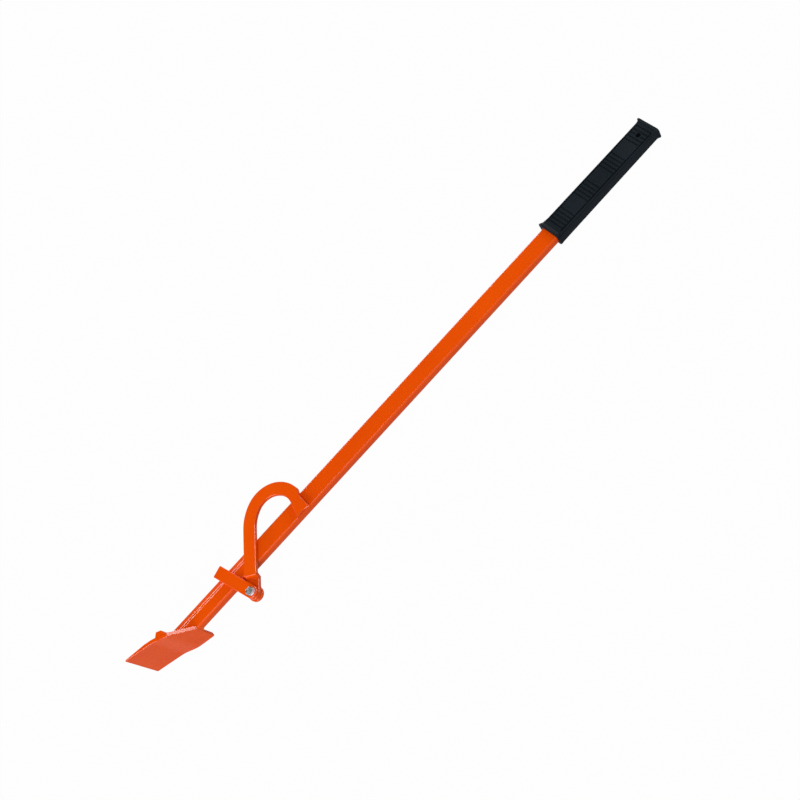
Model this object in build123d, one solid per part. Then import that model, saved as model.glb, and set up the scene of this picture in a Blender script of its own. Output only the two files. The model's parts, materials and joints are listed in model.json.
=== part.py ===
from build123d import *

import math
import os

# Felling lever with a turning hook.
#
# A rectangular steel tube carries a bent prying blade at one end and a moulded grip at the other.
# A cross bar on the tube's front face and a rear plate on its side form a clevis, in which a hook
# of flat bar swings on a bolt.
#
# Lever frame while modelling: x runs along the tube from the blade to the grip with 0 at mid-length,
# y runs across the tube towards the hook's arch, z points out of the tube's front face, and the
# tube's centre line is y = z = 0. The finished pieces are then set down on the plane z = 0.
# Lengths are in millimetres and angles in degrees.

# Overall length, blade edge to grip end
LEVER_LENGTH = 1300.0

# Shaft tube
TUBE_WIDTH = 36.0
TUBE_DEPTH = 17.0
TUBE_WALL = 3.0
TUBE_CORNER = 4.5

# Stepped bevel pressed into the tube's front face, from the blade up to the hook's limb
BEVEL_FROM_AXIS = 4.1
BEVEL_STEP_RUN = 1.2
BEVEL_STEP_DROP = 0.45
BEVEL_LEDGE = 3.0
BEVEL_EDGE_DROP = 3.3
BEVEL_PAST_PIVOT = 46.0
BEVEL_RUN_OUT = 12.0

# Blade: lengths along the shaft and slopes against it, from the root to the edge
BLADE_WIDTH = 96.0
BLADE_THICKNESS = 7.0
BLADE_ROOT_LENGTH = 37.5
BLADE_ROOT_SLOPE = 12.7
BLADE_STEP_LENGTH = 26.5
BLADE_STEP_SLOPE = 26.0
BLADE_NOSE_LENGTH = 59.5
BLADE_NOSE_SLOPE = 15.4
BLADE_BEND_RADIUS = 60.0
BLADE_EDGE_THICKNESS = 2.0
BLADE_TAPER_LENGTH = 45.0
BLADE_SHOULDER_SWEEP = 35.0
BLADE_NOSE_CORNER = 4.0
BLADE_EAR_CORNER = 4.0
BLADE_RIM_BEVEL = 0.8

# Heel bars on the blade's upper face, one on each side of the tube
HEEL_FROM_TIP = 68.0
HEEL_LENGTH = 22.0
HEEL_TOP_LENGTH = 10.0
HEEL_NOSE_RUN = 3.0
HEEL_HEIGHT = 8.5

# Clevis: pivot place, cross bar with its spur, rear plate
PIVOT_FROM_TIP = 239.0
PIVOT_OFFSET = 52.0
BAR_WIDTH = 22.5
BAR_THICKNESS = 6.0
BAR_REACH = 86.0
BAR_ANGLE = 107.0
BAR_CORNER = 1.5
REAR_PLATE_THICKNESS = 6.0
REAR_PLATE_END_RADIUS = 13.5
REAR_PLATE_FOOT = 36.0
PLATE_RIM_BEVEL = 0.8

# Turning hook of flat bar
HOOK_WIDTH = 24.0
HOOK_THICKNESS = 8.0
HOOK_LIMB_ANGLE = 53.13
HOOK_LIMB_LENGTH = 114.0
HOOK_LEAD_RADIUS = 77.0
HOOK_LEAD_SWEEP = 30.0
HOOK_ARCH_RADIUS = 48.0
HOOK_ARCH_SWEEP = 128.0
HOOK_NECK_LEAD = 17.5
HOOK_NECK_RUN = -2.75
HOOK_NECK_WIDTH = 19.45
HOOK_TIP_INNER_LENGTH = 33.9
HOOK_TIP_OUTER_LENGTH = 26.85
HOOK_TIP_END_WIDTH = 27.2
HOOK_TIP_HOLLOW = 4.2
HOOK_CHISEL_LENGTH = 14.0
HOOK_CHISEL_LAND = 2.5
HOOK_JOGGLE_START = 23.8
HOOK_JOGGLE_LENGTH = 4.5
HOOK_JOGGLE_ROUND = 2.5
HOOK_RIM_BEVEL = 0.8
HOOK_TUBE_CLEARANCE = 1.0
EYE_SIDE_CLEARANCE = 0.6
EYE_BORE_CLEARANCE = 0.08

# Pivot bolt, washers and lock nut, size M8
BOLT_DIAMETER = 8.0
BOLT_HOLE_CLEARANCE = 0.2
HEX_ACROSS_FLATS = 13.0
HEX_CHAMFER_ANGLE = 30.0
BOLT_HEAD_HEIGHT = 5.3
BOLT_END_PROUD = 2.0
BOLT_END_CHAMFER = 1.0
WASHER_DIAMETER = 16.0
WASHER_THICKNESS = 1.6
NUT_HEX_HEIGHT = 6.2
NUT_COLLAR_HEIGHT = 1.8
NUT_COLLAR_DIAMETER = 11.8
NUT_INSERT_DIAMETER = 10.0
NUT_INSERT_HEIGHT = 1.6

# Moulded grip: section at its closed end and growth towards its open end, flared lips, cross grooves,
# side channels, hanging hole
GRIP_LENGTH = 256.0
GRIP_WIDTH = 43.5
GRIP_DEPTH = 22.0
GRIP_CORNER = 3.0
GRIP_GROWTH = 2.7
GRIP_SOLID_END = 40.0
START_FLARE_LENGTH = 20.0
START_FLARE_HOOK_SIDE = 5.2
START_FLARE_BOLT_SIDE = 0.5
END_FLARE_LENGTH = 9.5
END_FLARE_HOOK_SIDE = 4.6
END_FLARE_BOLT_SIDE = 3.2
FLARE_LIP = 2.4
FLARE_DEPTH_RISE = 2.0
FLARE_CORNER_RISE = 3.0
FLARE_RIM_BEVEL = 0.8
RIB_FIRST = 17.6
RIB_PITCH = 7.6
RIB_GROOVES = 5
RIB_GROOVE_WIDTH = 2.6
RIB_GROOVE_DEPTH = 1.0
RIB_GROUPS = 4
RIB_GROUP_PITCH = 65.0
CHANNEL_WIDTH = 2.6
CHANNEL_DEPTH = 2.0
CHANNEL_FROM_SIDE = 3.9
CHANNEL_END_GAP = 13.0
HANG_HOLE_DIAMETER = 9.0
HANG_HOLE_FROM_END = 27.0
HANG_HOLE_RIM = 2.0

# Weld beads
WELD_LEG = 3.0
EAR_WELD_LEG = 7.0
EAR_WELD_HOLLOW = 0.3
EAR_WELD_BITE = 0.4

# How finely curved flares are stepped, and how closely faces count as square to a direction
FLARE_STEPS = 2
SQUARE_TOLERANCE = 0.01
ACROSS_PLATES = Vector(0, 0, 1)
ACROSS_BLADE = Vector(0, 1, 0)

# Derived places in the lever frame
TIP_X = -LEVER_LENGTH / 2
END_X = LEVER_LENGTH / 2
ROOT_X = TIP_X + BLADE_NOSE_LENGTH + BLADE_STEP_LENGTH + BLADE_ROOT_LENGTH
TUBE_SIDE = TUBE_WIDTH / 2
TUBE_FACE = TUBE_DEPTH / 2
GRIP_START_X = END_X - GRIP_LENGTH
TUBE_END_X = END_X - GRIP_SOLID_END
PIVOT = (TIP_X + PIVOT_FROM_TIP, -PIVOT_OFFSET)
BAR_TOP = TUBE_FACE + BAR_THICKNESS
EYE_TOP = TUBE_FACE - EYE_SIDE_CLEARANCE
EYE_BOTTOM = EYE_TOP - HOOK_THICKNESS
LIMB_BOTTOM = TUBE_FACE + HOOK_TUBE_CLEARANCE
LIMB_TOP = LIMB_BOTTOM + HOOK_THICKNESS
REAR_PLATE_TOP = EYE_BOTTOM - EYE_SIDE_CLEARANCE
REAR_PLATE_BOTTOM = REAR_PLATE_TOP - REAR_PLATE_THICKNESS
BOLT_RADIUS = BOLT_DIAMETER / 2
HOLE_RADIUS = BOLT_RADIUS + BOLT_HOLE_CLEARANCE
NUT_HEIGHT = NUT_HEX_HEIGHT + NUT_COLLAR_HEIGHT
NUT_TOP = REAR_PLATE_BOTTOM - WASHER_THICKNESS
TIP_ANGLE = HOOK_LIMB_ANGLE - HOOK_LEAD_SWEEP - HOOK_ARCH_SWEEP
GRIP_LEAN = math.degrees(math.atan2(GRIP_GROWTH / 2, GRIP_LENGTH))
CHANNEL_Y = GRIP_WIDTH / 2 - CHANNEL_FROM_SIDE


def heading(angle):
    """Unit step in the x-y plane at an angle from +x."""
    return (math.cos(math.radians(angle)), math.sin(math.radians(angle)))


def step(start, angle, length, side=0.0):
    """Point reached from start by going length along a heading and side to its left."""
    along = heading(angle)
    return (
        start[0] + along[0] * length - along[1] * side,
        start[1] + along[1] * length + along[0] * side,
    )


def slab(outline, bottom, top):
    """Solid between two heights over a face drawn in the x-y plane."""
    return Pos(0, 0, bottom) * extrude(outline, amount=top - bottom)


def side_view(profile, origin, angle, half_width):
    """Solid of a profile drawn as (distance along a heading, height), over a width on both sides."""
    along = heading(angle)
    plane = Plane(
        origin=(origin[0], origin[1], 0),
        x_dir=(along[0], along[1], 0),
        z_dir=(along[1], -along[0], 0),
    )
    return extrude(plane * profile, amount=half_width, both=True)


def along_shaft(section, start, end):
    """Section drawn as (y, z) and carried along x from start to end."""
    return extrude(Plane.YZ.offset(start) * section, amount=end - start)


def pivot_cylinder(radius, bottom, top):
    """Cylinder on the pivot axis between two heights."""
    return Pos(PIVOT[0], PIVOT[1], (bottom + top) / 2) * Cylinder(radius, top - bottom)


def closed_shape(*points):
    """Face inside a closed run of straight edges."""
    return make_face(Polyline(*points, close=True))


def bevelled_rims(plate, through, size):
    """Plate with the edges between its broad faces and its rim bevelled.

    The rim is every face that runs along the direction through the plate.
    """
    def in_rim(face):
        return abs(face.normal_at(face.center()).dot(through)) < SQUARE_TOLERANCE

    rim = [face for face in plate.faces() if in_rim(face)]
    broad_edges = [edge for face in plate.faces() if face not in rim for edge in face.edges()]
    edges = [edge for face in rim for edge in face.edges() if edge in broad_edges]
    return chamfer(edges, size)


def blade_lower_points():
    """Corners of the blade's lower face, from the root to the edge."""
    points = [(ROOT_X, -TUBE_SIDE)]
    for length, slope in (
        (BLADE_ROOT_LENGTH, BLADE_ROOT_SLOPE),
        (BLADE_STEP_LENGTH, BLADE_STEP_SLOPE),
        (BLADE_NOSE_LENGTH, BLADE_NOSE_SLOPE),
    ):
        x, y = points[-1]
        points.append((x - length, y + length * math.tan(math.radians(slope))))
    return points


def blade_upper_points():
    """Corners of the blade's upper face: the lower ones moved out by the plate's thickness."""
    root, first, second, edge = blade_lower_points()
    slopes = (BLADE_ROOT_SLOPE, BLADE_STEP_SLOPE, BLADE_NOSE_SLOPE)

    def mitre(corner, before, after):
        middle = math.radians(90 - (before + after) / 2)
        reach = BLADE_THICKNESS / math.cos(math.radians(before - after) / 2)
        return (corner[0] + reach * math.cos(middle), corner[1] + reach * math.sin(middle))

    def square(corner, slope):
        return (corner[0], corner[1] + BLADE_THICKNESS / math.cos(math.radians(slope)))

    return [
        square(root, slopes[0]),
        mitre(first, slopes[0], slopes[1]),
        mitre(second, slopes[1], slopes[2]),
        square(edge, slopes[2]),
    ]


def blade_lower_line():
    outer = BLADE_BEND_RADIUS + BLADE_THICKNESS
    return FilletPolyline(*blade_lower_points(), radius=[outer, BLADE_BEND_RADIUS])


def blade_upper_line():
    outer = BLADE_BEND_RADIUS + BLADE_THICKNESS
    return FilletPolyline(*blade_upper_points(), radius=[BLADE_BEND_RADIUS, outer])


def blade_plan():
    """Prism of the blade's outline seen square to the tube's side, before the shoulder is cut."""
    half = BLADE_WIDTH / 2
    nose = (TIP_X, half)
    ear = (ROOT_X, -half)
    outline = closed_shape(nose, (TIP_X, -half), ear, (ROOT_X, half))
    for corner, radius in ((nose, BLADE_NOSE_CORNER), (ear, BLADE_EAR_CORNER)):
        vertex = outline.vertices().sort_by_distance((corner[0], corner[1], 0))[0]
        outline = fillet(vertex, radius)
    return extrude(Plane.XZ * outline, amount=TUBE_WIDTH + BLADE_WIDTH, both=True)


def shoulder_cut():
    """Prism that cuts the blade's front shoulder off at a slant, up to the tube's front face."""
    beyond = ROOT_X + BLADE_WIDTH
    shoulder_x = ROOT_X - BLADE_SHOULDER_SWEEP
    outline = closed_shape(
        (ROOT_X, TUBE_FACE),
        (shoulder_x, BLADE_WIDTH / 2),
        (shoulder_x, BLADE_WIDTH),
        (beyond, BLADE_WIDTH),
        (beyond, TUBE_FACE),
    )
    return extrude(Plane.XZ * outline, amount=TUBE_WIDTH + BLADE_WIDTH, both=True)


def blade_thinning():
    """Wedge over the blade's upper face that thins the plate towards its edge."""
    edge_low = blade_lower_points()[-1]
    edge_high = blade_upper_points()[-1]
    lean = BLADE_TAPER_LENGTH * math.tan(math.radians(BLADE_NOSE_SLOPE))
    wedge = closed_shape(
        (edge_low[0], edge_low[1] + BLADE_EDGE_THICKNESS),
        (edge_high[0] + BLADE_TAPER_LENGTH, edge_high[1] - lean),
        (edge_high[0], edge_high[1] + BLADE_THICKNESS),
    )
    return extrude(wedge, amount=BLADE_WIDTH * 2, both=True)


def make_blade():
    """Plate bent twice, thinned to its edge, trimmed, bevelled along the rim and cut at the shoulder."""
    lower = blade_lower_line()
    upper = blade_upper_line()
    ends = [Line(lower @ 0, upper @ 0), Line(lower @ 1, upper @ 1)]
    profile = make_face(lower.edges() + upper.edges() + ends)
    plate = extrude(profile, amount=BLADE_WIDTH / 2, both=True) - blade_thinning()
    return bevelled_rims(plate & blade_plan(), ACROSS_BLADE, BLADE_RIM_BEVEL) - shoulder_cut()


def tube_section(grow=0.0):
    """Outer section of the tube in the y-z plane, optionally enlarged."""
    return RectangleRounded(TUBE_WIDTH + 2 * grow, TUBE_DEPTH + 2 * grow, TUBE_CORNER + grow)


def under_blade_face():
    """Everything on the lower side of the blade's upper face, for the tube's scarf cut."""
    line = blade_upper_line()
    depth = TUBE_WIDTH + BLADE_WIDTH
    start = line @ 0
    end = line @ 1
    closing = Polyline((end.X, end.Y), (end.X, -depth), (start.X, -depth), (start.X, start.Y))
    region = make_face(line.edges() + closing.edges())
    return extrude(region, amount=BLADE_WIDTH, both=True) - blade_thinning()


def pressed_bevel():
    """Cut for the stepped bevel on the front face, with a sloped end under the hook's limb.

    The face stays whole under the cross bar, which needs its seat.
    """
    second = BEVEL_FROM_AXIS + BEVEL_STEP_RUN + BEVEL_LEDGE
    clear = TUBE_SIDE + BEVEL_EDGE_DROP
    above = TUBE_FACE + BEVEL_EDGE_DROP
    floor = TUBE_FACE - BEVEL_EDGE_DROP
    end = PIVOT[0] + BEVEL_PAST_PIVOT
    section = closed_shape(
        (BEVEL_FROM_AXIS, TUBE_FACE),
        (BEVEL_FROM_AXIS + BEVEL_STEP_RUN, TUBE_FACE - BEVEL_STEP_DROP),
        (second, TUBE_FACE - BEVEL_STEP_DROP),
        (second + BEVEL_STEP_RUN, TUBE_FACE - 2 * BEVEL_STEP_DROP),
        (TUBE_SIDE, floor),
        (clear, floor),
        (clear, above),
        (BEVEL_FROM_AXIS, above),
    )
    run = closed_shape(
        (TIP_X, floor),
        (end - BEVEL_RUN_OUT, floor),
        (end, TUBE_FACE),
        (end, above),
        (TIP_X, above),
    )
    cut = along_shaft(section, TIP_X, end) & side_view(run, (0, 0), 0, clear)
    return cut - slab(bar_outline(), floor, TUBE_FACE)


def hang_hole(rim=0.0):
    """Through hole for hanging the lever up, in the grip's solid end, or the rim around it."""
    place = Pos(END_X - HANG_HOLE_FROM_END, 0, 0)
    return place * Cylinder(HANG_HOLE_DIAMETER / 2 + rim, GRIP_DEPTH * 2)


def make_shaft_tube():
    tube = along_shaft(tube_section() - tube_section(-TUBE_WALL), TIP_X, TUBE_END_X)
    return tube - under_blade_face() - pressed_bevel()


def make_heel_bars():
    """Two toothed bars across the blade's upper face, from the tube's faces out to the edges."""
    tooth_x = TIP_X + HEEL_FROM_TIP
    lean = math.radians(BLADE_STEP_SLOPE)
    corner = blade_upper_points()[2]
    foot = (tooth_x, corner[1] - (tooth_x - corner[0]) * math.tan(lean))

    def on_slope(run, rise):
        return (
            foot[0] + run * math.cos(lean) + rise * math.sin(lean),
            foot[1] - run * math.sin(lean) + rise * math.cos(lean),
        )

    profile = closed_shape(
        on_slope(0, -BLADE_THICKNESS),
        on_slope(0, 0),
        on_slope(HEEL_NOSE_RUN, HEEL_HEIGHT),
        on_slope(HEEL_NOSE_RUN + HEEL_TOP_LENGTH, HEEL_HEIGHT),
        on_slope(HEEL_LENGTH, 0),
        on_slope(HEEL_LENGTH, -BLADE_THICKNESS),
    )
    bar = extrude(profile, amount=BLADE_WIDTH / 2, both=True)
    bar = (bar & blade_plan()) - shoulder_cut() - under_blade_face()
    return bar - Pos(tooth_x, 0, 0) * Box(BLADE_WIDTH, BLADE_WIDTH, TUBE_DEPTH)


def bar_outline():
    """Cross bar seen from the front: round about the pivot, square at the spur."""
    half = BAR_WIDTH / 2
    shape = closed_shape(
        step(PIVOT, BAR_ANGLE, 0, -half),
        step(PIVOT, BAR_ANGLE, BAR_REACH, -half),
        step(PIVOT, BAR_ANGLE, BAR_REACH, half),
        step(PIVOT, BAR_ANGLE, 0, half),
    )
    spur = step(PIVOT, BAR_ANGLE, BAR_REACH)
    shape = fillet(shape.vertices().sort_by_distance((spur[0], spur[1], 0))[:2], BAR_CORNER)
    return shape + Pos(*PIVOT) * Circle(half)


def make_cross_bar():
    bar = bevelled_rims(slab(bar_outline(), TUBE_FACE, BAR_TOP), ACROSS_PLATES, PLATE_RIM_BEVEL)
    return bar - pivot_cylinder(HOLE_RADIUS, TUBE_FACE, BAR_TOP)


def make_rear_plate():
    """Plate on the tube's side that holds the bolt's far end, with straight flanks up to its round end."""
    x, y = PIVOT
    half_foot = REAR_PLATE_FOOT / 2
    tilt = math.atan2(half_foot - REAR_PLATE_END_RADIUS, PIVOT_OFFSET - TUBE_SIDE)
    touch_x = REAR_PLATE_END_RADIUS * math.cos(tilt)
    touch_y = y + REAR_PLATE_END_RADIUS * math.sin(tilt)
    web = closed_shape(
        (x - half_foot, -TUBE_SIDE),
        (x - touch_x, touch_y),
        (x + touch_x, touch_y),
        (x + half_foot, -TUBE_SIDE),
    )
    shape = web + Pos(x, y) * Circle(REAR_PLATE_END_RADIUS)
    plate = bevelled_rims(slab(shape, REAR_PLATE_BOTTOM, REAR_PLATE_TOP), ACROSS_PLATES, PLATE_RIM_BEVEL)
    return plate - pivot_cylinder(HOLE_RADIUS, REAR_PLATE_BOTTOM, REAR_PLATE_TOP)


def hook_outline():
    """Hook seen from the front: eye, limb, arch and flared tip with a hollow end."""
    half = HOOK_WIDTH / 2
    limb = heading(HOOK_LIMB_ANGLE)

    def limb_side(side):
        return Line(*(step(PIVOT, HOOK_LIMB_ANGLE, run, side) for run in (0, HOOK_LIMB_LENGTH)))

    outer_limb = limb_side(half)
    inner_limb = limb_side(-half)
    outer_lead = JernArc(outer_limb @ 1, limb, HOOK_LEAD_RADIUS + half, -HOOK_LEAD_SWEEP)
    inner_lead = JernArc(inner_limb @ 1, limb, HOOK_LEAD_RADIUS - half, -HOOK_LEAD_SWEEP)
    outer_sweep = HOOK_ARCH_SWEEP - HOOK_NECK_LEAD
    outer_arch = JernArc(outer_lead @ 1, outer_lead % 1, HOOK_ARCH_RADIUS + half, -outer_sweep)
    inner_arch = JernArc(inner_lead @ 1, inner_lead % 1, HOOK_ARCH_RADIUS - half, -HOOK_ARCH_SWEEP)
    neck_side = step(hook_turn(), TIP_ANGLE, HOOK_NECK_RUN, HOOK_NECK_WIDTH)
    outer_corner, inner_corner = hook_tip_corners()
    hollow = step(hook_tip_end(), hook_end_angle(), -HOOK_TIP_HOLLOW)
    sides = (
        outer_limb,
        outer_lead,
        outer_arch,
        Polyline(outer_arch @ 1, neck_side, outer_corner),
        ThreePointArc(outer_corner, hollow, inner_corner),
        Line(inner_corner, inner_arch @ 1),
        inner_arch,
        inner_lead,
        inner_limb,
        Line(inner_limb @ 0, outer_limb @ 0),
    )
    return make_face([edge for side in sides for edge in side.edges()]) + Pos(*PIVOT) * Circle(half)


def arch_centre():
    """Middle of the hook's arch."""
    limb_end = step(PIVOT, HOOK_LIMB_ANGLE, HOOK_LIMB_LENGTH)
    lead_centre = step(limb_end, HOOK_LIMB_ANGLE, 0, -HOOK_LEAD_RADIUS)
    return step(lead_centre, HOOK_LIMB_ANGLE - HOOK_LEAD_SWEEP, 0, HOOK_LEAD_RADIUS - HOOK_ARCH_RADIUS)


def hook_turn():
    """Point on the inside of the hook where the arch ends and the tip begins."""
    return step(arch_centre(), TIP_ANGLE, 0, HOOK_ARCH_RADIUS - HOOK_WIDTH / 2)


def hook_tip_corners():
    """Outer and inner corner of the tip's end."""
    turn = hook_turn()
    outer = step(turn, TIP_ANGLE, HOOK_TIP_OUTER_LENGTH, HOOK_TIP_END_WIDTH)
    return outer, step(turn, TIP_ANGLE, HOOK_TIP_INNER_LENGTH)


def hook_tip_end():
    """Middle of the line between the tip's end corners."""
    outer, inner = hook_tip_corners()
    return ((outer[0] + inner[0]) / 2, (outer[1] + inner[1]) / 2)


def hook_end_angle():
    """Heading square to the line between the tip's end corners, out of the tip."""
    outer, inner = hook_tip_corners()
    return math.degrees(math.atan2(inner[1] - outer[1], inner[0] - outer[0])) + 90


def hook_edge_view():
    """The hook's flat bar seen on edge: the joggle lifts it from the eye's level to the limb's level."""
    bend = math.atan2(LIMB_TOP - EYE_TOP, HOOK_JOGGLE_LENGTH)
    shift = HOOK_THICKNESS * math.tan(bend / 2)
    rise_end = HOOK_JOGGLE_START + HOOK_JOGGLE_LENGTH
    behind = -HOOK_WIDTH

    def level_change(lower, upper, moved):
        return FilletPolyline(
            (behind, lower),
            (HOOK_JOGGLE_START + moved, lower),
            (rise_end + moved, upper),
            (LEVER_LENGTH, upper),
            radius=HOOK_JOGGLE_ROUND,
        )

    top = level_change(EYE_TOP, LIMB_TOP, 0)
    bottom = level_change(EYE_BOTTOM, LIMB_BOTTOM, shift)
    ends = [Line(top @ 0, bottom @ 0), Line(top @ 1, bottom @ 1)]
    return make_face(top.edges() + bottom.edges() + ends)


def hook_chisel_cut():
    """Wedge that bevels the underside of the hook's tip to a chisel edge."""
    edge_height = LIMB_TOP - HOOK_CHISEL_LAND
    below = LIMB_BOTTOM - HOOK_THICKNESS
    wedge = closed_shape(
        (-HOOK_CHISEL_LENGTH, LIMB_BOTTOM),
        (0, edge_height),
        (HOOK_CHISEL_LENGTH, edge_height),
        (HOOK_CHISEL_LENGTH, below),
        (-HOOK_CHISEL_LENGTH, below),
    )
    return side_view(wedge, hook_tip_end(), hook_end_angle(), HOOK_WIDTH * 2)


def make_turning_hook():
    bar = slab(hook_outline(), EYE_BOTTOM, LIMB_TOP)
    bar = bar & side_view(hook_edge_view(), PIVOT, HOOK_LIMB_ANGLE, LEVER_LENGTH)
    hook = bevelled_rims(bar, ACROSS_PLATES, HOOK_RIM_BEVEL) - hook_chisel_cut()
    return hook - pivot_cylinder(BOLT_RADIUS + EYE_BORE_CLEARANCE, EYE_BOTTOM, EYE_TOP)


def hexagon_block(bottom, top):
    """Hexagon on the pivot axis with the corners of its upper end chamfered, as on bolt heads."""
    flat = HEX_ACROSS_FLATS / 2
    hexagon = RegularPolygon(flat, 6, major_radius=False)
    corner = max(math.hypot(vertex.X, vertex.Y) for vertex in hexagon.vertices())
    drop = (corner - flat) * math.tan(math.radians(HEX_CHAMFER_ANGLE))
    turned = revolve(
        Plane.XZ * closed_shape((0, bottom), (corner, bottom), (corner, top - drop), (flat, top), (0, top)),
        Axis.Z,
    )
    return slab(Pos(*PIVOT) * hexagon, bottom, top) & (Pos(*PIVOT) * turned)


def make_pivot_bolt():
    under_head = BAR_TOP + WASHER_THICKNESS
    end = NUT_TOP - NUT_HEIGHT - BOLT_END_PROUD
    shank = pivot_cylinder(BOLT_RADIUS, end, under_head)
    shank = chamfer(shank.edges().sort_by(Axis.Z)[0], BOLT_END_CHAMFER)
    return hexagon_block(under_head, under_head + BOLT_HEAD_HEIGHT) + shank


def make_washer(bottom):
    ring = pivot_cylinder(WASHER_DIAMETER / 2, bottom, bottom + WASHER_THICKNESS)
    return ring - pivot_cylinder(HOLE_RADIUS, bottom, bottom + WASHER_THICKNESS)


def make_lock_nut():
    """Hexagon nut with a collar that holds a locking ring."""
    hex_bottom = NUT_TOP - NUT_HEX_HEIGHT
    bottom = NUT_TOP - NUT_HEIGHT
    nut = hexagon_block(hex_bottom, NUT_TOP)
    nut = nut + pivot_cylinder(NUT_COLLAR_DIAMETER / 2, bottom, hex_bottom)
    nut = nut - pivot_cylinder(NUT_INSERT_DIAMETER / 2, bottom, bottom + NUT_INSERT_HEIGHT)
    return nut - pivot_cylinder(BOLT_RADIUS, bottom, NUT_TOP)


def make_nut_insert():
    bottom = NUT_TOP - NUT_HEIGHT
    ring = pivot_cylinder(NUT_INSERT_DIAMETER / 2, bottom, bottom + NUT_INSERT_HEIGHT)
    return ring - pivot_cylinder(BOLT_RADIUS, bottom, bottom + NUT_INSERT_HEIGHT)


def grip_growth(x):
    """How much wider and deeper the grip is at a place along it than at its closed end."""
    return GRIP_GROWTH * (END_X - x) / GRIP_LENGTH


def grip_section(x, hook_side=0.0, bolt_side=0.0, rise=0.0):
    """Outline of the grip at a station, with a flare's rise from 0 to 1 added on each side."""
    growth = grip_growth(x)
    width = GRIP_WIDTH + growth + (hook_side + bolt_side) * rise
    depth = GRIP_DEPTH + growth + 2 * FLARE_DEPTH_RISE * rise
    lean = (hook_side - bolt_side) * rise / 2
    corner = GRIP_CORNER + growth / 2 + FLARE_CORNER_RISE * rise
    return Plane.YZ.offset(x) * (Pos(lean, 0) * RectangleRounded(width, depth, corner))


def grip_flare(end_x, inward, length, hook_side, bolt_side):
    """Flared end of the grip, from its lip inwards along a hollow quarter round."""
    outlines = [grip_section(end_x, hook_side, bolt_side, 1.0)]
    for index in range(FLARE_STEPS + 1):
        turn = math.pi / 2 * index / FLARE_STEPS
        run = FLARE_LIP + (length - FLARE_LIP) * (1 - math.cos(turn))
        outlines.append(grip_section(end_x + inward * run, hook_side, bolt_side, 1 - math.sin(turn)))
    flare = loft(outlines, ruled=True)
    rim = flare.faces().sort_by_distance((end_x, 0, 0))[0]
    return chamfer(rim.edges(), FLARE_RIM_BEVEL)


def grip_grooves():
    """Cross grooves in the front and back faces, in groups with plain panels, from channel to channel."""
    first = GRIP_START_X + RIB_FIRST
    rim = hang_hole(HANG_HOLE_RIM)
    cuts = []
    for group in range(RIB_GROUPS):
        for groove in range(RIB_GROOVES):
            x = first + group * RIB_GROUP_PITCH + groove * RIB_PITCH
            face = (GRIP_DEPTH + grip_growth(x)) / 2
            for side in (1, -1):
                box = Box(RIB_GROOVE_WIDTH, CHANNEL_Y * 2, RIB_GROOVE_DEPTH * 2)
                cuts.append(Pos(x, 0, side * face) * box - rim)
    return cuts


def grip_channels():
    """Long grooves that part the ribbed faces from the smooth side bands."""
    length = GRIP_LENGTH - 2 * CHANNEL_END_GAP
    middle = GRIP_START_X + GRIP_LENGTH / 2
    face = (GRIP_DEPTH + grip_growth(middle)) / 2
    cuts = []
    for across in (1, -1):
        for side in (1, -1):
            bar = Rot(0, side * GRIP_LEAN, 0) * Box(length, CHANNEL_WIDTH, CHANNEL_DEPTH * 2)
            cuts.append(Pos(middle, across * CHANNEL_Y, side * face) * bar)
    return cuts


def make_grip():
    start = grip_flare(GRIP_START_X, 1, START_FLARE_LENGTH, START_FLARE_HOOK_SIDE, START_FLARE_BOLT_SIDE)
    end = grip_flare(END_X, -1, END_FLARE_LENGTH, END_FLARE_HOOK_SIDE, END_FLARE_BOLT_SIDE)
    between = GRIP_LENGTH - START_FLARE_LENGTH - END_FLARE_LENGTH
    middle = extrude(grip_section(GRIP_START_X + START_FLARE_LENGTH), amount=between, taper=GRIP_LEAN)
    body = start + middle + end - along_shaft(tube_section(), GRIP_START_X, TUBE_END_X)
    return body - grip_grooves() - grip_channels() - hang_hole()


def tube_body():
    """The tube's outside, filled, that beads are cut back to."""
    return along_shaft(tube_section(), TIP_X, END_X)


def make_bar_welds():
    """Beads under the cross bar, in the corners that it makes with the tube's rounded edges."""
    seat = slab(bar_outline(), -TUBE_FACE, TUBE_FACE)
    beads = []
    for side in (1, -1):
        bead = closed_shape(
            (side * (TUBE_SIDE - TUBE_CORNER), TUBE_FACE),
            (side * (TUBE_SIDE + WELD_LEG), TUBE_FACE),
            (side * TUBE_SIDE, TUBE_FACE - TUBE_CORNER - WELD_LEG),
        )
        beads.append((along_shaft(bead, TIP_X, END_X) & seat) - tube_body())
    return Compound(children=beads)


def make_rear_plate_welds():
    """Beads along the rear plate's foot on the tube's side, above and below the plate."""
    start = PIVOT[0] - REAR_PLATE_FOOT / 2
    end = PIVOT[0] + REAR_PLATE_FOOT / 2
    above = closed_shape(
        (-TUBE_SIDE, REAR_PLATE_TOP),
        (-TUBE_SIDE - WELD_LEG, REAR_PLATE_TOP),
        (-TUBE_SIDE, REAR_PLATE_TOP + WELD_LEG),
    )
    below = closed_shape(
        (-TUBE_SIDE - WELD_LEG, REAR_PLATE_BOTTOM),
        (-TUBE_SIDE + TUBE_CORNER, REAR_PLATE_BOTTOM),
        (-TUBE_SIDE + TUBE_CORNER, -TUBE_FACE),
    )
    upper = along_shaft(above, start, end) - make_bar_welds().solids()
    lower = along_shaft(below, start, end) - tube_body()
    return Compound(children=upper.solids() + lower.solids())


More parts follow.
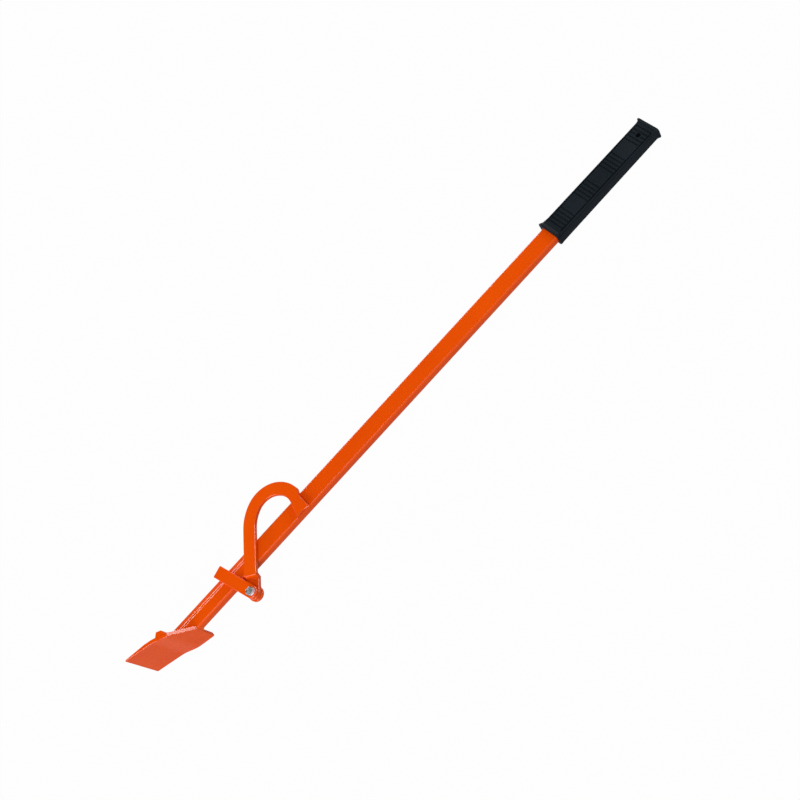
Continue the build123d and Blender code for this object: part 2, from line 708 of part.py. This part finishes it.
def scarf_beads():
    """Beads along the tube's front and back faces on the blade's upper face, clear of the heel bars."""
    line = blade_upper_line()
    out = (line % 0).rotate(Axis.Z, -90)
    corner = Vector(ROOT_X, (line @ 0).Y, TUBE_FACE)
    section = closed_shape(corner, corner + out * WELD_LEG, corner + Vector(0, 0, WELD_LEG))
    flat = TUBE_WIDTH - 2 * TUBE_CORNER
    beside_tube = Pos(ROOT_X, 0, 0) * Box(LEVER_LENGTH, flat, BLADE_WIDTH)
    bead = (sweep(section, path=line) & beside_tube) - make_heel_bars()
    return bead.solids() + mirror(bead, Plane.XY).solids()


def ear_bead():
    """Hollow-faced bead in the notch between the tube's rounded back edge and the blade's ear."""
    hollow = EAR_WELD_LEG * EAR_WELD_HOLLOW
    stations = ((0, EAR_WELD_LEG), (hollow, hollow), (EAR_WELD_LEG, -EAR_WELD_BITE))
    cone = loft([Plane.YZ.offset(ROOT_X + x) * tube_section(grow) for x, grow in stations], ruled=True)
    height = (blade_upper_line() @ 0).Y + TUBE_SIDE
    reach = TUBE_FACE + EAR_WELD_LEG
    notch = Box(EAR_WELD_LEG, height, reach, align=(Align.MIN, Align.MIN, Align.MAX))
    return (cone & (Pos(ROOT_X, -TUBE_SIDE, 0) * notch)) - tube_body()


def make_blade_welds():
    return Compound(children=scarf_beads() + ear_bead().solids())


PIECES = {
    "shaft_tube": make_shaft_tube,
    "blade": make_blade,
    "heel_bars": make_heel_bars,
    "cross_bar": make_cross_bar,
    "rear_clevis_plate": make_rear_plate,
    "turning_hook": make_turning_hook,
    "pivot_bolt": make_pivot_bolt,
    "head_washer": lambda: make_washer(BAR_TOP),
    "nut_washer": lambda: make_washer(NUT_TOP),
    "lock_nut": make_lock_nut,
    "nut_insert": make_nut_insert,
    "grip": make_grip,
    "blade_welds": make_blade_welds,
    "cross_bar_welds": make_bar_welds,
    "rear_plate_weld": make_rear_plate_welds,
}


def setting_down():
    """Move that sets the lever on z = 0 with the middle of its outline at the origin."""
    high_y = arch_centre()[1] + HOOK_ARCH_RADIUS + HOOK_WIDTH / 2
    low_y = PIVOT[1] - max(REAR_PLATE_END_RADIUS, BAR_WIDTH / 2, HOOK_WIDTH / 2)
    return Pos(0, -(high_y + low_y) / 2, BLADE_WIDTH / 2)


def main():
    os.makedirs("parts", exist_ok=True)
    place = setting_down()
    for name, make in PIECES.items():
        export_step(place * make(), os.path.join("parts", name + ".step"))


main()
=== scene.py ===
import json
import math
from collections import namedtuple

import bpy
from mathutils import Matrix, Vector


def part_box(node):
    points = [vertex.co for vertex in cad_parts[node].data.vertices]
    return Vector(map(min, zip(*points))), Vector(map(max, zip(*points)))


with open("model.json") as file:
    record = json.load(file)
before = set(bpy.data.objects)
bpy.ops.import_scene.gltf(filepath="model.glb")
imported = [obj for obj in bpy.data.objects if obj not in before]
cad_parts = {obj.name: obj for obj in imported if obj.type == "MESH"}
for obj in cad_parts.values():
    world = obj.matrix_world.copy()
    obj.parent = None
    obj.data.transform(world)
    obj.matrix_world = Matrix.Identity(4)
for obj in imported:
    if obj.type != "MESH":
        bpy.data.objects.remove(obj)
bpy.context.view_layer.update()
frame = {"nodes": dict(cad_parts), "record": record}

# Camera, as fitted to the photograph
LENS_MM = 49.5
SENSOR_WIDTH_MM = 36.0
CAMERA_DISTANCE = 1.924
CAMERA_TILT = math.radians(34.3)
CAMERA_ROLL = math.radians(47.42)
CAMERA_AIM_X = 0.00298
CAMERA_AIM_BELOW = 0.00067

# Floor: its grey to light that bounces, and how far it is white to the eye and to glosses
FLOOR_SIZE = 8.0
FLOOR_DROP = 0.001
FLOOR_GREY = (0.36, 0.36, 0.36, 1.0)
FLOOR_ROUGHNESS = 0.9
FLOOR_WHITE_SHARE = 0.98
FLOOR_GLOSS_SHARE = 0.10

# Studio: what glows around the lever, and the heights and depths where one glow gives way to the next
BACKDROP_WHITE = (1.0, 1.0, 1.0, 1.0)
FRONT_GLOW = (0.12, 0.12, 0.12, 1.0)
OVERHEAD_GLOW = (0.82, 0.82, 0.82, 1.0)
WALL_GLOW = (2.0, 2.0, 2.0, 1.0)
CEILING_GLOW = (0.02, 0.02, 0.022, 1.0)
WALL_TOP = 0.26
CEILING_START = 0.34
FRONT_TOP = 0.35
OVERHEAD_START = 0.60
FRONT_END = -0.05
BACK_START = 0.20

# Key light: the way to it from the lever, its strength and how wide it looks
KEY_WAY = Vector((-0.20, -0.25, 0.94))
KEY_STRENGTH = 0.56
KEY_ANGLE = math.radians(30.0)

# Soft boxes, all equally far from the place they are aimed at
SoftBox = namedtuple("SoftBox", "way width height radiance")
SOFT_BOX_AIM = Vector((-0.3, 0.0, 0.05))
SOFT_BOX_DISTANCE = 6.0
SOFT_BOXES = {
    "left": SoftBox(way=(-0.885, -0.345, 0.31), width=1.0, height=3.6, radiance=7.5),
    "right": SoftBox(way=(0.845, -0.23, 0.479), width=1.0, height=1.0, radiance=11.0),
    "shoulder": SoftBox(way=(0.821, 0.538, 0.247), width=2.6, height=0.95, radiance=10.0),
    "bevel_lines": SoftBox(way=(-0.18, 0.955, 0.235), width=6.0, height=0.7, radiance=9.0),
    "front_left": SoftBox(way=(-0.63, -0.63, 0.44), width=2.8, height=1.8, radiance=8.0),
}

# Skins: detail of their noise, the part of the noise that is used, and how strongly relief shows
RELIEF_DETAIL = 1.5
TONE_DETAIL = 4.0
NOISE_LOW = 0.3
NOISE_HIGH = 0.7
RELIEF_STRENGTH = 0.5

# Edges: samples of the rounding, and how well two normals agree on a flat face and on a full edge
EDGE_SAMPLES = 8
AGREE_ON_FLAT = 1.0
AGREE_ON_EDGE = 0.88

# Finishes: deep, plain and edge colour (the edge colour partly wear, partly a painted highlight),
# roughness limits, sizes in metres
Finish = namedtuple(
    "Finish", "colours roughness relief_scale tone_scale relief_depth edge_radius edge_share"
)
ORANGE = (0.83, 0.086, 0.0012, 1.0)
ORANGE_DEEP = (0.77, 0.072, 0.0010, 1.0)
# Paler orange on the edges: partly paint worn thin, partly a painted highlight of rounded edges.
ORANGE_EDGE = (0.88, 0.120, 0.006, 1.0)
PAINT_SPECULAR = 0.26
PAINT_FINISH = Finish(
    colours=(ORANGE_DEEP, ORANGE, ORANGE_EDGE),
    roughness=(0.10, 0.15),
    relief_scale=420.0,
    tone_scale=7.0,
    relief_depth=0.000004,
    edge_radius=0.0004,
    edge_share=0.3,
)
ZINC = (0.93, 0.93, 0.94, 1.0)
ZINC_DULL = (0.56, 0.60, 0.66, 1.0)
ZINC_FINISH = Finish(
    colours=(ZINC_DULL, ZINC, ZINC),
    roughness=(0.30, 0.52),
    relief_scale=900.0,
    tone_scale=190.0,
    relief_depth=0.00002,
    edge_radius=0.0003,
    edge_share=0.3,
)
NYLON = (0.72, 0.72, 0.66, 1.0)
NYLON_DULL = (0.60, 0.60, 0.54, 1.0)
NYLON_SCATTER = 0.2
NYLON_SCATTER_RADIUS = (0.001, 0.001, 0.001)
NYLON_FINISH = Finish(
    colours=(NYLON_DULL, NYLON, NYLON),
    roughness=(0.40, 0.50),
    relief_scale=900.0,
    tone_scale=120.0,
    relief_depth=0.00002,
    edge_radius=0.0003,
    edge_share=0.3,
)
GRIP_BLACK = (0.0050, 0.0100, 0.0150, 1.0)
GRIP_BLACK_DEEP = (0.0035, 0.0070, 0.0110, 1.0)
# Lighter blue-grey on the grip's edges and groove rims: a painted highlight.
GRIP_EDGE = (0.0085, 0.0140, 0.0190, 1.0)
GRIP_SPECULAR = 0.14
GRIP_FINISH = Finish(
    colours=(GRIP_BLACK_DEEP, GRIP_BLACK, GRIP_EDGE),
    roughness=(0.48, 0.58),
    relief_scale=2400.0,
    tone_scale=14.0,
    relief_depth=0.00002,
    edge_radius=0.0003,
    edge_share=0.5,
)


def tube_axis():
    """The y and z of the tube's centre line."""
    low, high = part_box("shaft_tube")
    return (low.y + high.y) / 2, (low.z + high.z) / 2


def add_camera():
    """A camera that looks down at the tube's front face, with the tube running up to the right."""
    y, z = tube_axis()
    across = Vector((0, -math.cos(CAMERA_TILT), -math.sin(CAMERA_TILT)))
    forward = Vector((0, math.sin(CAMERA_TILT), -math.cos(CAMERA_TILT)))
    along = Vector((1, 0, 0))
    right = along * math.cos(CAMERA_ROLL) + across * math.sin(CAMERA_ROLL)
    up = along * math.sin(CAMERA_ROLL) - across * math.cos(CAMERA_ROLL)
    aim = Vector((CAMERA_AIM_X, y, z)) + across * CAMERA_AIM_BELOW
    place = aim - forward * CAMERA_DISTANCE
    data = bpy.data.cameras.new("camera")
    data.lens = LENS_MM
    data.sensor_width = SENSOR_WIDTH_MM
    camera = bpy.data.objects.new("camera", data)
    bpy.context.scene.collection.objects.link(camera)
    turn = Matrix((right, up, -forward)).transposed().to_4x4()
    camera.matrix_world = Matrix.Translation(place) @ turn
    bpy.context.scene.camera = camera


def new_group(name, inputs, outputs):
    """An empty shader node group with float inputs and outputs."""
    group = bpy.data.node_groups.new(name, "ShaderNodeTree")
    for side, labels in (("INPUT", inputs), ("OUTPUT", outputs)):
        for label in labels:
            group.interface.new_socket(name=label, in_out=side, socket_type="NodeSocketFloat")
    return group, group.nodes.new("NodeGroupInput"), group.nodes.new("NodeGroupOutput")


def build_surface_skin():
    """Fine relief of a coated or moulded skin, and the broad unevenness of its tone."""
    group, given, result = new_group("surface_skin", ("Relief Scale", "Tone Scale"), ("Relief", "Tone"))
    nodes, links = group.nodes, group.links
    place = nodes.new("ShaderNodeTexCoord")
    for label, detail in (("Relief", RELIEF_DETAIL), ("Tone", TONE_DETAIL)):
        texture = nodes.new("ShaderNodeTexNoise")
        texture.inputs["Detail"].default_value = detail
        links.new(place.outputs["Object"], texture.inputs["Vector"])
        links.new(given.outputs[label + " Scale"], texture.inputs["Scale"])
        links.new(texture.outputs["Fac"], result.inputs[label])
    return group


def build_edge_mask():
    """A mask of the sharp edges, from how far a rounded normal leans away from the true one."""
    group, given, result = new_group("edge_mask", ("Radius",), ("Edge",))
    nodes, links = group.nodes, group.links
    rounding = nodes.new("ShaderNodeBevel")
    rounding.samples = EDGE_SAMPLES
    links.new(given.outputs["Radius"], rounding.inputs["Radius"])
    true_face = nodes.new("ShaderNodeNewGeometry")
    agree = nodes.new("ShaderNodeVectorMath")
    agree.operation = "DOT_PRODUCT"
    links.new(rounding.outputs["Normal"], agree.inputs[0])
    links.new(true_face.outputs["Normal"], agree.inputs[1])
    mask = nodes.new("ShaderNodeMapRange")
    mask.inputs["From Min"].default_value = AGREE_ON_FLAT
    mask.inputs["From Max"].default_value = AGREE_ON_EDGE
    links.new(agree.outputs["Value"], mask.inputs["Value"])
    links.new(mask.outputs["Result"], result.inputs["Edge"])
    return group


SURFACE_SKIN = build_surface_skin()
EDGE_MASK = build_edge_mask()


def place_group(tree, group, values):
    """A node group set into a material, with its inputs."""
    node = tree.nodes.new("ShaderNodeGroup")
    node.node_tree = group
    for label, value in values.items():
        node.inputs[label].default_value = value
    return node


def mixed_colour(tree, mask, first, second):
    """A mix by a mask. Each of the two colours is a plain colour or another node's output."""
    mix = tree.nodes.new("ShaderNodeMix")
    mix.data_type = "RGBA"
    tree.links.new(mask, mix.inputs["Factor"])
    for socket, colour in ((mix.inputs["A"], first), (mix.inputs["B"], second)):
        if isinstance(colour, bpy.types.NodeSocket):
            tree.links.new(colour, socket)
        else:
            socket.default_value = colour
    return mix.outputs["Result"]


def spread(tree, value, low, high, from_low=NOISE_LOW, from_high=NOISE_HIGH):
    """A value that varies over the surface, brought between two limits."""
    node = tree.nodes.new("ShaderNodeMapRange")
    node.inputs["From Min"].default_value = from_low
    node.inputs["From Max"].default_value = from_high
    node.inputs["To Min"].default_value = low
    node.inputs["To Max"].default_value = high
    tree.links.new(value, node.inputs["Value"])
    return node.outputs["Result"]


def skin_material(name, finish):
    """A surface with fine relief, uneven tone, and edges made lighter, partly as wear and partly as a
    painted highlight. Returns the material and its shader.
    """
    material = bpy.data.materials.new(name)
    material.use_nodes = True
    tree = material.node_tree
    shader = tree.nodes["Principled BSDF"]
    scales = {"Relief Scale": finish.relief_scale, "Tone Scale": finish.tone_scale}
    skin = place_group(tree, SURFACE_SKIN, scales)
    edge = place_group(tree, EDGE_MASK, {"Radius": finish.edge_radius})
    deep, plain, edge_colour = finish.colours
    toned = mixed_colour(tree, spread(tree, skin.outputs["Tone"], 0.0, 1.0), deep, plain)
    # Edges lighter in colour: partly paint worn thin, partly a painted highlight where rounded edges
    # would catch the light.
    edge_wear_and_highlight = spread(tree, edge.outputs["Edge"], 0.0, finish.edge_share, 0.0, 1.0)
    tree.links.new(mixed_colour(tree, edge_wear_and_highlight, toned, edge_colour), shader.inputs["Base Color"])
    tree.links.new(spread(tree, skin.outputs["Tone"], *finish.roughness), shader.inputs["Roughness"])
    bump = tree.nodes.new("ShaderNodeBump")
    bump.inputs["Strength"].default_value = RELIEF_STRENGTH
    bump.inputs["Distance"].default_value = finish.relief_depth
    tree.links.new(skin.outputs["Relief"], bump.inputs["Height"])
    tree.links.new(bump.outputs["Normal"], shader.inputs["Normal"])
    return material, shader


def orange_paint():
    material, shader = skin_material("orange_paint", PAINT_FINISH)
    shader.inputs["Specular IOR Level"].default_value = PAINT_SPECULAR
    return material


def zinc_steel():
    material, shader = skin_material("zinc_steel", ZINC_FINISH)
    shader.inputs["Metallic"].default_value = 1.0
    return material


def nylon_ring():
    material, shader = skin_material("nylon", NYLON_FINISH)
    shader.inputs["Subsurface Weight"].default_value = NYLON_SCATTER
    shader.inputs["Subsurface Radius"].default_value = NYLON_SCATTER_RADIUS
    return material


def moulded_grip():
    material, shader = skin_material("black_grip", GRIP_FINISH)
    shader.inputs["Specular IOR Level"].default_value = GRIP_SPECULAR
    return material


def dress_nodes():
    """Each CAD node gets the finish of its material slot."""
    finishes = {
        "orange_paint": orange_paint(),
        "zinc_steel": zinc_steel(),
        "nylon": nylon_ring(),
        "black_grip": moulded_grip(),
    }
    for part in frame["record"]["subparts"]:
        node = frame["nodes"][part["node"]]
        node.data.materials.clear()
        node.data.materials.append(finishes[part["material_slot"]])


def white_share(tree):
    """How far the floor is white to a ray: mostly to the eye, a little to glosses and clear surfaces."""
    path = tree.nodes.new("ShaderNodeLightPath")
    shares = {
        "Is Camera Ray": FLOOR_WHITE_SHARE,
        "Is Glossy Ray": FLOOR_GLOSS_SHARE,
        "Is Transmission Ray": FLOOR_GLOSS_SHARE,
    }
    total = None
    for label, share in shares.items():
        part = tree.nodes.new("ShaderNodeMath")
        part.operation = "MULTIPLY_ADD"
        part.inputs[1].default_value = share
        part.inputs[2].default_value = 0.0
        tree.links.new(path.outputs[label], part.inputs[0])
        if total is not None:
            tree.links.new(total, part.inputs[2])
        total = part.outputs["Value"]
    return total


def floor_material():
    """A grey floor to the light that bounces, and a white one with a faint shadow to the eye."""
    material = bpy.data.materials.new("floor")
    material.use_nodes = True
    tree = material.node_tree
    shader = tree.nodes["Principled BSDF"]
    shader.inputs["Base Color"].default_value = FLOOR_GREY
    shader.inputs["Roughness"].default_value = FLOOR_ROUGHNESS
    white = tree.nodes.new("ShaderNodeEmission")
    mix = tree.nodes.new("ShaderNodeMixShader")
    tree.links.new(white_share(tree), mix.inputs["Fac"])
    tree.links.new(shader.outputs["BSDF"], mix.inputs[1])
    tree.links.new(white.outputs["Emission"], mix.inputs[2])
    tree.links.new(mix.outputs["Shader"], tree.nodes["Material Output"].inputs["Surface"])
    return material


def add_floor():
    bpy.ops.object.select_all(action="DESELECT")
    bpy.ops.mesh.primitive_plane_add(size=FLOOR_SIZE, location=(0, 0, -FLOOR_DROP))
    floor = bpy.context.object
    floor.name = "floor"
    floor.data.materials.append(floor_material())


def add_studio():
    """A pale overhead sheet above a dim front, and behind it a low pale wall under a dark ceiling.

    The eye sees a plain white backdrop instead.
    """
    world = bpy.data.worlds.new("studio")
    bpy.context.scene.world = world
    world.use_nodes = True
    tree = world.node_tree
    way = tree.nodes.new("ShaderNodeTexCoord")
    parts = tree.nodes.new("ShaderNodeSeparateXYZ")
    tree.links.new(way.outputs["Generated"], parts.inputs["Vector"])
    height = spread(tree, parts.outputs["Z"], 0.0, 1.0, WALL_TOP, CEILING_START)
    back = mixed_colour(tree, height, WALL_GLOW, CEILING_GLOW)
    overhead = spread(tree, parts.outputs["Z"], 0.0, 1.0, FRONT_TOP, OVERHEAD_START)
    front = mixed_colour(tree, overhead, FRONT_GLOW, OVERHEAD_GLOW)
    behind = spread(tree, parts.outputs["Y"], 0.0, 1.0, FRONT_END, BACK_START)
    glow = mixed_colour(tree, behind, front, back)
    path = tree.nodes.new("ShaderNodeLightPath")
    seen = mixed_colour(tree, path.outputs["Is Camera Ray"], glow, BACKDROP_WHITE)
    tree.links.new(seen, tree.nodes["Background"].inputs["Color"])


def add_key():
    lamp = bpy.data.lights.new("key", "SUN")
    lamp.energy = KEY_STRENGTH
    lamp.angle = KEY_ANGLE
    key = bpy.data.objects.new("key", lamp)
    bpy.context.scene.collection.objects.link(key)
    key.rotation_euler = KEY_WAY.to_track_quat("Z", "Y").to_euler()


def add_soft_boxes():
    """Rectangular lamps that the bevels and rims mirror. The eye doesn't see them."""
    for name, box in SOFT_BOXES.items():
        lamp = bpy.data.lights.new(name, "AREA")
        lamp.shape = "RECTANGLE"
        lamp.size = box.width
        lamp.size_y = box.height
        lamp.energy = math.pi * box.width * box.height * box.radiance
        holder = bpy.data.objects.new(name, lamp)
        bpy.context.scene.collection.objects.link(holder)
        direction = Vector(box.way).normalized()
        holder.location = SOFT_BOX_AIM + direction * SOFT_BOX_DISTANCE
        holder.rotation_euler = direction.to_track_quat("Z", "Y").to_euler()
        holder.visible_camera = False


bpy.context.scene.view_settings.view_transform = "Standard"
add_camera()
dress_nodes()
add_floor()
add_studio()
add_key()
add_soft_boxes()
